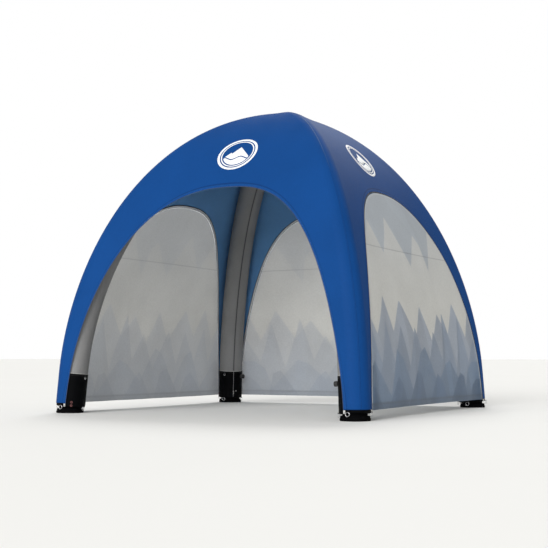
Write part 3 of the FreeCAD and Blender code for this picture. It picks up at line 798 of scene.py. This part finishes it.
def make_wall(side):
    """A wall's cloth and its zip flap, as one sheet."""
    heights = wall_heights()
    width = ARCH_HALF_WIDTH - WALL_INSET
    top = ARCH_HEIGHT - WALL_INSET
    half = width * unit(1 - (heights / top) ** ARCH_HEIGHT_POWER) ** (1 / ARCH_WIDTH_POWER)
    shares = np.sin(np.linspace(-1, 1, WALL_COLUMNS) * WALL_CROWDING) / math.sin(WALL_CROWDING)
    x = half[:, None] * shares[None, :]
    z = np.repeat(heights[:, None], WALL_COLUMNS, 1)
    points = on_face(x, z, SKIN_RADIUS - 0.0002)
    points[..., 1] += drape(x, z, 1.3 + side)
    points[..., 1] += 0.0009 * (np.abs(z - SEAM_HEIGHT) < 0.004)
    points[..., 1] += 0.0010 * (z < WALL_BOTTOM + WALL_HEM - 0.001)
    arch_x, arch_z, arch_run = arch_curve(WALL_INSET, WALL_BOTTOM, 900)
    away = np.hypot(np.abs(x)[..., None] - arch_x, z[..., None] - arch_z)
    sheet = Sheet()
    sheet.add(
        turned(points, side), grid_faces(*x.shape), joined(x, z),
        edge=away.min(-1), run=arch_run[away.argmin(-1)], rise=z - WALL_BOTTOM, flap=0.0,
    )
    for mirror in (1, -1):
        flap, flat, out, run = wall_flap(mirror)
        sheet.add(
            turned(flap, side), grid_faces(*run.shape), flat, flip=(mirror == -1),
            edge=0.05, run=run, rise=1.0, flap=out,
        )
    wall = sheet.build("wall_cloth_" + SIDES[side], ["wall", "wall_back"], "wall_fabric",
                       "wall_" + SIDES[side], weld=WELD)
    solidify(wall, WALL_THICKNESS, 1)
    subdivide(wall)


# ---- zips
TOOTH_FACES = [(0, 1, 2, 3), (7, 6, 5, 4), (0, 4, 5, 1), (1, 5, 6, 2), (2, 6, 7, 3), (3, 7, 4, 0)]
ARCH_TAPES = [(0.0010, 0.0058), (0.0086, 0.0132)]  # insets of the canopy's and the wall's zip tape
ARCH_TAPE_ROWS = 161
ARCH_TOOTH_PITCH = 0.006
ARCH_TOOTH_WIDTH = 0.0026


def ribbon(rows):
    """Faces of a strip swept row by row, each row a closed section, with flat ends."""
    count, columns = rows.shape[:2]
    last = (count - 1) * columns
    ends = [tuple(range(columns))[::-1], tuple(range(last, last + columns))]
    return grid_faces(count, columns, closed=True) + ends


def strip_uv(widths, lengths):
    """Flat place of each point of a strip: a width for each column, a length for each row."""
    return np.stack(np.meshgrid(widths, lengths), -1)


def arch_strip(low, high, mirror):
    """A flat strip along half an arch, between two insets, just behind the skin."""
    columns = []
    for inset, depth in ((low, 0.0004), (high, 0.0004), (high, 0.0013), (low, 0.0013)):
        x, z, _ = arch_curve(inset, CANOPY_BOTTOM, ARCH_TAPE_ROWS)
        columns.append(mirrored(on_face(x, z, SKIN_RADIUS - depth), mirror))
    return np.stack(columns, 1)


def arch_teeth(sheet, side, inset, mirror):
    """Teeth of an arch zip: small blocks along its middle line."""
    count = int(arch_curve(inset, CANOPY_BOTTOM, 2)[2][-1] / ARCH_TOOTH_PITCH)
    x, z, _ = arch_curve(inset, CANOPY_BOTTOM, 2 * count + 1)
    x_in, z_in, _ = arch_curve(inset + ARCH_TOOTH_WIDTH, CANOPY_BOTTOM, 2 * count + 1)
    for index in range(count):
        at = [2 * index, 2 * index + 1]
        xs = np.concatenate([x[at], x_in[at[::-1]]])
        zs = np.concatenate([z[at], z_in[at[::-1]]])
        points = np.concatenate([on_face(xs, zs, SKIN_RADIUS + lift) for lift in (0.0002, -0.0022)])
        sheet.add(turned(mirrored(points, mirror), side), TOOTH_FACES, flip=(mirror == -1))


def make_arch_zip(side):
    """Tapes and teeth round an arch. The open front arch has only the canopy's half."""
    tapes, teeth = Sheet(), Sheet()
    for mirror in (1, -1):
        for low, high in ARCH_TAPES if side else ARCH_TAPES[:1]:
            rows = arch_strip(low, high, mirror)
            uv = strip_uv([low, high, high, low], arch_curve(low, CANOPY_BOTTOM, len(rows))[2])
            tapes.add(turned(rows, side), ribbon(rows), uv, flip=(mirror == -1))
        arch_teeth(teeth, side, ARCH_TAPES[0][1], mirror)
    finish = "zip_tape" if side else "zip_tape_front"
    tapes.build("arch_zip_tape_" + SIDES[side], [finish], "zip_tape", "arch_zips", weld=FINE_WELD,
                smooth=False)
    teeth.build("arch_zip_teeth_" + SIDES[side], ["coil"], "zip_tape", "arch_zips", smooth=False)


# ---- legs
SLEEVE_THICKNESS = 0.0012
BLADDER_RADIUS = 0.1186
BOOT_THICKNESS = 0.0016
BOOT_COLUMNS = 88


def leg_stations():
    """Points and tangents along the front right leg's centre line and past the crown, and lengths."""
    q = np.linspace(SLEEVE_START / STRAIGHT_TOP - 1, 1, 900)
    offset, height, _, _ = leg_line(q)
    points = joined(offset, -offset, height)
    past = np.array([[-step, step, CROWN_HEIGHT + CROWN_SLOPE * step] for step in (0.06, 0.12, 0.2)])
    points = np.concatenate([points, past])
    length = running(np.linalg.norm(np.diff(points, axis=0), axis=1))
    return points, np.gradient(points, length, axis=0), length


STATIONS, TANGENTS, LENGTHS = leg_stations()
ACROSS = np.array([-1.0, -1.0, 0.0]) / math.sqrt(2)


def along_leg(length, radius, bearing):
    """A point at a radius and bearing round the leg, some way along it."""
    centre = np.stack([np.interp(length, LENGTHS, column) for column in STATIONS.T], -1)
    tangent = np.stack([np.interp(length, LENGTHS, column) for column in TANGENTS.T], -1)
    tangent = tangent / np.linalg.norm(tangent, axis=-1, keepdims=True)
    inward = np.cross(np.broadcast_to(ACROSS, tangent.shape), tangent)
    inward = inward / np.linalg.norm(inward, axis=-1, keepdims=True)
    radius = np.asarray(radius)[..., None]
    bearing = np.asarray(bearing)[..., None]
    return centre + radius * (np.cos(bearing) * inward + np.sin(bearing) * ACROSS)


def mitre_length(radius, bearing, gap):
    """Length along the leg where a line at this bearing meets the mitre planes at the crown."""
    low, high = LENGTHS[-1] * 0.6, LENGTHS[-1]
    for _ in range(40):
        middle = (low + high) / 2
        point = along_leg(middle, radius, bearing)
        if min(point[0], -point[1]) > gap:
            low = middle
        else:
            high = middle
    return low


def tube_grid(radius, shape, gap, rows, columns, start=0.0):
    """Points of a tube from the foot to the crown mitre. shape(length, bearing) adds to the radius."""
    bearings = np.linspace(0, TURN, columns, endpoint=False)
    settled = LENGTHS[-1] * 0.72
    ends = np.array([mitre_length(radius, bearing, gap) for bearing in bearings])
    even = start + np.linspace(0, 1, rows) * (LENGTHS[-1] - start)
    past = unit((even - settled) / (LENGTHS[-1] - settled))
    length = np.minimum(even, settled)[:, None] + past[:, None] * (ends - settled)[None, :]
    bearing = np.broadcast_to(bearings, length.shape)
    return along_leg(length, radius + shape(length, bearing), bearing), length, bearing


def signed(bearing):
    """A bearing brought between minus half a turn and half a turn."""
    return (bearing + math.pi) % (TURN) - math.pi


def sleeve_shape(seed):
    def shape(length, bearing):
        """Puckers beside the zip and slack creases on the inside of the bend."""
        turn = signed(bearing)
        beside = np.exp(-(turn / 0.16) ** 2)
        puckers = 0.0011 * np.sin(length * TURN / 0.085 + 1.5 * np.sin(length * 9)) * beside
        groove = -0.0016 * np.exp(-((np.abs(turn) - 0.075) / 0.03) ** 2)
        inside = unit(np.cos(turn))
        bent = np.exp(-((length - 1.75) / 0.75) ** 2)
        creases = 0.0016 * np.sin(length * TURN / 0.16 + 2.0 * np.sin(turn * 3)) * inside * bent
        soft = 0.0012 * ripple(np.cos(turn), np.sin(turn), length * 1.4, 1.6, seed)
        return puckers + groove + creases + soft - 0.0008
    return shape


def make_sleeve(leg):
    points, length, bearing = tube_grid(
        SLEEVE_RADIUS, sleeve_shape(2.0 + leg), gap=0.0012, rows=131, columns=72)
    around = signed(bearing) * SLEEVE_RADIUS
    sheet = Sheet()
    sheet.add(
        turned(points, leg), grid_faces(*length.shape, closed=True), joined(around, length),
        flip=True, edge=np.abs(around), run=length,
    )
    sleeve = sheet.build("leg_sleeve_" + LEGS[leg], ["sleeve"], "sleeve_fabric", "sleeve_" + LEGS[leg])
    solidify(sleeve, SLEEVE_THICKNESS)
    subdivide(sleeve)


def make_bladder(leg):
    """Welded air tube with a weld line on its outer side and a rounded closed foot."""
    def shape(length, bearing):
        weld = 0.0008 * np.exp(-((np.abs(signed(bearing)) - math.pi) / 0.03) ** 2)
        low = unit((0.04 - length) / 0.04)
        return weld - BLADDER_RADIUS * 0.35 * low ** 2.5
    points, length, bearing = tube_grid(
        BLADDER_RADIUS, shape, gap=0.005, rows=90, columns=48, start=0.006)
    rows, columns = length.shape
    base = points[0].mean(0) - np.array([-LEAN, LEAN, 1]) * 0.001
    tip = points[-1].mean(0)
    faces = grid_faces(rows, columns, closed=True) + fan_faces(columns, 0, rows * columns)
    faces += [face[::-1] for face in fan_faces(columns, (rows - 1) * columns, rows * columns + 1)]
    uv = joined(signed(bearing) * BLADDER_RADIUS, length).reshape(-1, 2)
    sheet = Sheet()
    sheet.add(turned(np.concatenate([points.reshape(-1, 3), [base, tip]]), leg), faces,
              np.concatenate([uv, np.zeros((2, 2))]), flip=True)
    sheet.build("air_tube_" + LEGS[leg], ["bladder"], "bladder_film", "air_bladder_" + LEGS[leg])


def lathe(profile, columns):
    """Radius, bearing and height of a profile turned about the leg's axis, row by row."""
    profile = np.asarray(profile, float)
    bearings = np.linspace(0, TURN, columns, endpoint=False)
    radius, bearing = np.broadcast_arrays(profile[:, :1], bearings)
    return radius, bearing, np.broadcast_to(profile[:, 1:], radius.shape)


def upright(radius, bearing, height):
    """Points of the leg's frame, from their radius, bearing and height."""
    return joined(radius * np.cos(bearing), radius * np.sin(bearing), height)


def boot_profile():
    """Side of the boot with a rounded bottom corner, from the middle of its floor to its top."""
    rounding = 0.012
    profile = [(share * (BOOT_RADIUS - rounding), BOOT_BOTTOM) for share in (0.25, 0.6, 1.0)]
    for step in range(1, 6):
        angle = math.pi / 2 * step / 5
        profile.append((BOOT_RADIUS - rounding + rounding * math.sin(angle),
                        BOOT_BOTTOM + rounding - rounding * math.cos(angle)))
    heights = np.linspace(BOOT_BOTTOM + rounding, BOOT_TOP, 44)[1:]
    return profile + [(BOOT_RADIUS, height) for height in heights]


def make_boot(leg):
    """Heavy cloth cuff with shallow ring-shaped creases, deepest low down."""
    radius, bearing, height = lathe(boot_profile(), BOOT_COLUMNS)
    amount = unit((radius - 0.1) / 0.02) * unit((BOOT_TOP - height) / 0.05)
    low = np.exp(-((height - 0.11) / 0.06) ** 2)
    creases = ripple(np.cos(bearing) * 0.8, np.sin(bearing) * 0.8, height * 9.0, 2.1, 4.0 + leg)
    slack = amount * (0.0016 * creases - 0.0010 - 0.0012 * low * np.abs(creases))
    points = upright(radius + slack, bearing, height).reshape(-1, 3)
    around = signed(bearing) * BOOT_RADIUS
    rows, columns = height.shape
    uv = joined(around, height).reshape(-1, 2)
    sheet = Sheet()
    sheet.add(
        turned(on_leg(np.concatenate([points, [[0, 0, BOOT_BOTTOM]]])), leg),
        grid_faces(rows, columns, closed=True) + fan_faces(columns, 0, rows * columns),
        np.concatenate([uv, [[0, 0]]]),
        edge=np.append((BOOT_TOP - height).ravel(), 1.0), run=np.append(around.ravel(), 0.0),
    )
    boot = sheet.build("foot_boot_" + LEGS[leg], ["boot"], "boot_fabric", "boot_" + LEGS[leg])
    solidify(boot, BOOT_THICKNESS)
    subdivide(boot)


def make_boot_welt(leg):
    """Piping that binds the boot's top edge."""
    ring = [(BOOT_RADIUS - 0.0009 + 0.0022 * math.cos(angle), BOOT_TOP + 0.0030 * math.sin(angle))
            for angle in np.linspace(0, TURN, 11)]
    radius, bearing, height = lathe(ring, BOOT_COLUMNS)
    uv = strip_uv(signed(bearing[0]) * BOOT_RADIUS, np.linspace(0, 0.012, len(ring)))
    sheet = Sheet()
    sheet.add(turned(on_leg(upright(radius, bearing, height)), leg),
              grid_faces(*bearing.shape, closed=True), uv)
    sheet.build("boot_welt_" + LEGS[leg], ["welt"], "boot_fabric", weld=FINE_WELD)


# ---- leg zips
LEG_TOOTH_PITCH = 0.005
LEG_ZIP_SECTION = [(-0.0058, 0.0), (0.0058, 0.0), (0.0058, 0.0008), (0.0017, 0.0010),
                   (0.0, 0.0011), (-0.0017, 0.0010), (-0.0058, 0.0008)]
LEG_TOOTH = [(-0.0015, 0), (0.0015, 0.0006), (0.0015, 0.0034), (-0.0015, 0.0028)]


def make_zip_run(leg, part, place, lengths, first_tooth, teeth_length, finishes, flip):
    """Tape and teeth of one run of a leg's zip. place(length, offset, rise) gives its points."""
    tape, teeth = Sheet(), Sheet()
    offsets = [offset for offset, _ in LEG_ZIP_SECTION]
    rows = np.stack([place(lengths, offset, rise) for offset, rise in LEG_ZIP_SECTION], 1)
    tape.add(turned(rows, leg), ribbon(rows), strip_uv(offsets, lengths), flip=flip)
    for index in range(int(teeth_length / LEG_TOOTH_PITCH)):
        at = first_tooth + index * LEG_TOOTH_PITCH
        corners = [place(at + step, offset, rise)
                   for rise in (0.0008, 0.0020) for offset, step in LEG_TOOTH]
        teeth.add(turned(corners, leg), TOOTH_FACES)
    for kind, sheet, finish in zip(("_zip_tape_", "_zip_teeth_"), (tape, teeth), finishes):
        sheet.build(part + kind + LEGS[leg], [finish], "zip_tape", "leg_zips", smooth=False)


def make_leg_zip(leg):
    """Zip down the sleeve's inner side and on down the boot."""
    def on_sleeve(length, offset, rise):
        base = SLEEVE_RADIUS + 0.0005
        return along_leg(length, base + rise, offset / base)

    def on_boot(height, offset, rise):
        return on_leg(joined(BOOT_RADIUS + 0.0002 + rise, offset, height))

    first = BOOT_TOP + 0.006 - SLEEVE_START
    last = mitre_length(SLEEVE_RADIUS, 0.0, 0.004)
    make_zip_run(leg, "sleeve", on_sleeve, np.linspace(first, last, 240), first + 0.004,
                 last - first - 0.01, ("zip_tape_grey", "coil"), False)
    low, high = 0.072, BOOT_TOP - 0.004
    make_zip_run(leg, "boot", on_boot, np.linspace(low, high, 60), low, high - low,
                 ("zip_tape_dark", "coil_light"), True)


# ---- webbing tabs
STRAP_THICKNESS = 0.0012
STRAP_SECTION = [(-1, 0.5), (-0.82, 0.5), (0.82, 0.5), (1, 0.5), (1, -0.5), (0.82, -0.5),
                 (-0.82, -0.5), (-1, -0.5)]
ANCHOR_BEARINGS = (45.0, -45.0, 135.0, -135.0)
ANCHOR_HEIGHT = 0.062
ANCHOR_OUT = 0.1262 + 0.015
D_RING_HEIGHT = 0.318
D_RING_OUT = 0.1262 + 0.006


def strap_along(path, width):
    """A strap, thicker in its middle, that follows a path in the leg's x-z plane."""
    path = np.asarray(path, float)
    step = np.gradient(path, axis=0)
    step = step / np.linalg.norm(step, axis=1, keepdims=True)
    normal = joined(-step[:, 1], step[:, 0])
    columns = []
    for side, lift in STRAP_SECTION:
        thickness = STRAP_THICKNESS * (1.35 if abs(side) < 1 else 1.0)
        place = path + normal * (lift * thickness)
        columns.append(joined(place[:, 0], side * width / 2, place[:, 1]))
    return np.stack(columns, 1)


def circle_path(x, z, radius, start, end, count):
    """Points round a centre of the leg's x-z plane, between two angles in degrees."""
    turns = np.radians(np.linspace(start, end, count))
    return [(x + radius * math.cos(turn), z + radius * math.sin(turn)) for turn in turns]


def make_tabs(name, node, path, width, cloth_size, bearings, flip):
    """The same webbing loop at some bearings of each leg."""
    rows = strap_along(path, width)
    uv = strip_uv(np.linspace(0, cloth_size[0], len(STRAP_SECTION)),
                  np.linspace(0, cloth_size[1], len(rows)))
    sheet = Sheet()
    for bearing in bearings:
        for leg in range(4):
            sheet.add(turned(on_leg(at_bearing(rows, bearing)), leg), ribbon(rows), uv, flip=flip)
    sheet.build(name, ["webbing"], "webbing", node, smooth=False)


def make_anchor_tabs():
    """Out from the boot above each anchor ring's wire, round it and back to the boot."""
    start, wrap, gap = 0.1265, 0.0040, 0.0012
    inner = ANCHOR_OUT - wrap
    path = [(x, ANCHOR_HEIGHT + gap) for x in np.linspace(start, inner, 5)]
    path += circle_path(ANCHOR_OUT, ANCHOR_HEIGHT, wrap, 150, -150, 17)
    path += [(x, ANCHOR_HEIGHT - gap) for x in np.linspace(inner, start, 5)]
    make_tabs("anchor_webbing", "anchor_tabs", path, 0.0096, (0.0096, 0.05), ANCHOR_BEARINGS, True)


def make_d_ring_tabs():
    """Down the boot, round the D-ring's straight side and up again."""
    top = D_RING_HEIGHT + 0.024
    path = [(0.1271, z) for z in np.linspace(top, D_RING_HEIGHT + 0.004, 6)]
    path += circle_path(D_RING_OUT, D_RING_HEIGHT, 0.0024, 195, 480, 15)
    path += [(0.1290, z) for z in np.linspace(D_RING_HEIGHT + 0.005, top, 6)]
    make_tabs("d_ring_webbing", "d_ring_tabs", path, 0.0118, (0.012, 0.06), (-45.0,), False)


# ---- emblem
EMBLEM_HEIGHT = 2.28
EMBLEM_LIFT = 0.0007
EMBLEM_THICKNESS = 0.0003
EMBLEM_RINGS = ((0.172, 0.195), (0.150, 0.161))
EMBLEM_INSIDE = 0.138
EMBLEM_GAP = 0.012
PEAKS = ((-0.070, 0.020), (0.012, 0.085), (0.082, 0.005))  # place and height of each peak
PEAK_SLOPE = 1.15


def emblem_cloth(sheet, flat, faces, side):
    """Place flat emblem points on a side of the canopy."""
    q = q_at_run(run_at_q(q_at_height(EMBLEM_HEIGHT)) + flat[..., 1])
    points = face_point(share_at(flat[..., 0], q), q, SKIN_RADIUS + EMBLEM_LIFT)
    sheet.add(turned(points, side), faces, flat)


def emblem_ring(sheet, inner, outer, side, columns=96, rows=4):
    radius = np.linspace(inner, outer, rows)[:, None]
    angle = np.linspace(0, TURN, columns, endpoint=False)
    flat = joined(radius * np.cos(angle), radius * np.sin(angle))
    emblem_cloth(sheet, flat, grid_faces(rows, columns, closed=True), side)


def emblem_range(sheet, low, high, half_width, side, columns=61, rows=5):
    """A filled strip between a lower and an upper outline, both functions of x."""
    x = np.linspace(-half_width, half_width, columns)
    bottom = np.array([low(a) for a in x])
    top = np.maximum(np.array([high(a) for a in x]), bottom + 0.0004)
    share = np.linspace(0, 1, rows)[:, None]
    flat = joined(x, bottom + share * (top - bottom))
    emblem_cloth(sheet, flat, grid_faces(rows, columns), side)


def rim(x):
    """Height of the upper half of the circle that the peaks stand in."""
    return math.sqrt(max(EMBLEM_INSIDE ** 2 - x * x, 0.0))


def snow_line(x):
    """Skyline of three plain peaks."""
    return min(max(height - PEAK_SLOPE * abs(x - place) for place, height in PEAKS), rim(x))


def bank(x):
    return min(-0.060 + 0.016 * math.sin(x * 38), snow_line(x) - EMBLEM_GAP)


def make_emblem(side):
    """Plain ring round a mountain outline."""
    sheet = Sheet()
    for inner, outer in EMBLEM_RINGS:
        emblem_ring(sheet, inner, outer, side)
    emblem_range(sheet, lambda x: -rim(x), bank, EMBLEM_INSIDE - 0.003, side)
    emblem_range(sheet, lambda x: min(bank(x) + EMBLEM_GAP, snow_line(x)), snow_line, 0.122, side,
                 columns=123)
    emblem = sheet.build("emblem_" + SIDES[side], ["emblem"], "canopy_fabric")
    solidify(emblem, EMBLEM_THICKNESS)


# ---- CAD pieces that stay
CAD_FINISHES = {
    "foot_plate": "rubber", "zip_slider": "slider", "zip_pull": "slider", "valve_bodies": "valve",
    "valve_cap": "valve", "d_ring_front": "steel", "d_ring_back": "steel", "anchor_ring": "steel",
    "boot_eyelets": "eyelet", "canopy_clips": "clip",
}


def dress_cad_nodes():
    """Give each CAD node that is shown its material."""
    for name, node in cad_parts.items():
        for start, finish in CAD_FINISHES.items():
            if name.startswith(start):
                node.data.materials.clear()
                node.data.materials.append(MATERIALS[finish])


# ---- floor, light and camera
FLOOR_REACH = 300.0
WORLD_LIGHT = 0.46
SUNS = (  # name, strength, place, degrees across, rays that don't see it
    ("key", 3.1, (0.6, -9.3, 3.8), 50, ()),
    ("back", 1.25, (-3.0, 6.0, 7.5), 24, ("glossy",)),
    ("glance", 0.85, (-1.2, 7.5, 5.8), 35, ("diffuse", "transmission")),
)
CAMERA_LENS = 74.92
CAMERA_PLACE = (5.046, -9.415, 0.4836)
CAMERA_PITCH = 4.196  # degrees up from level
CAMERA_HEADING = 28.573  # degrees left of +Y


def make_floor():
    square = [(-1, -1, 0), (1, -1, 0), (1, 1, 0), (-1, 1, 0)]
    sheet = Sheet()
    sheet.add(FLOOR_REACH * np.array(square), [(0, 1, 2, 3)])
    sheet.build("floor", ["floor"], None, smooth=False)


def add_sun(name, strength, place, degrees, unseen_by):
    """A sun that shines from a place towards the middle of the tent's floor."""
    light = bpy.data.lights.new(name, "SUN")
    light.energy = strength
    light.angle = math.radians(degrees)
    holder = bpy.data.objects.new(name, light)
    holder.location = place
    holder.rotation_euler = (-Vector(place)).to_track_quat("-Z", "Y").to_euler()
    for ray in unseen_by:
        setattr(holder, "visible_" + ray, False)
    bpy.context.scene.collection.objects.link(holder)


def make_world():
    """White to the camera, dimmer as a light."""
    world = bpy.data.worlds.new("studio")
    world.use_nodes = True
    bpy.context.scene.world = world
    tree = world.node_tree
    seen = tree.nodes["Background"]
    lit = tree.nodes.new("ShaderNodeBackground")
    for background, strength in ((seen, 1.0), (lit, WORLD_LIGHT)):
        background.inputs["Color"].default_value = (1, 1, 1, 1)
        background.inputs["Strength"].default_value = strength
    path = tree.nodes.new("ShaderNodeLightPath")
    both = tree.nodes.new("ShaderNodeMixShader")
    tree.links.new(path.outputs["Is Camera Ray"], both.inputs[0])
    tree.links.new(lit.outputs[0], both.inputs[1])
    tree.links.new(seen.outputs[0], both.inputs[2])
    tree.links.new(both.outputs[0], tree.nodes["World Output"].inputs[0])


def make_camera():
    camera = bpy.data.cameras.new("camera")
    camera.lens = CAMERA_LENS
    camera.sensor_width = 36
    camera.clip_end = 2000
    holder = bpy.data.objects.new("camera", camera)
    holder.location = CAMERA_PLACE
    holder.rotation_euler = (math.radians(90 + CAMERA_PITCH), 0, math.radians(CAMERA_HEADING))
    bpy.context.scene.collection.objects.link(holder)
    bpy.context.scene.camera = holder


make_canopy()
for number in range(1, 4):
    make_wall(number)
for number in range(4):
    make_arch_zip(number)
    make_emblem(number)
for number in range(4):
    make_sleeve(number)
    make_bladder(number)
    make_boot(number)
    make_boot_welt(number)
    make_leg_zip(number)
make_anchor_tabs()
make_d_ring_tabs()
dress_cad_nodes()
make_floor()
make_world()
for sun in SUNS:
    add_sun(*sun)
make_camera()
bpy.context.scene.view_settings.view_transform = "Standard"


def corners(bounds):
    return [[float(number) for number in corner] for corner in bounds]
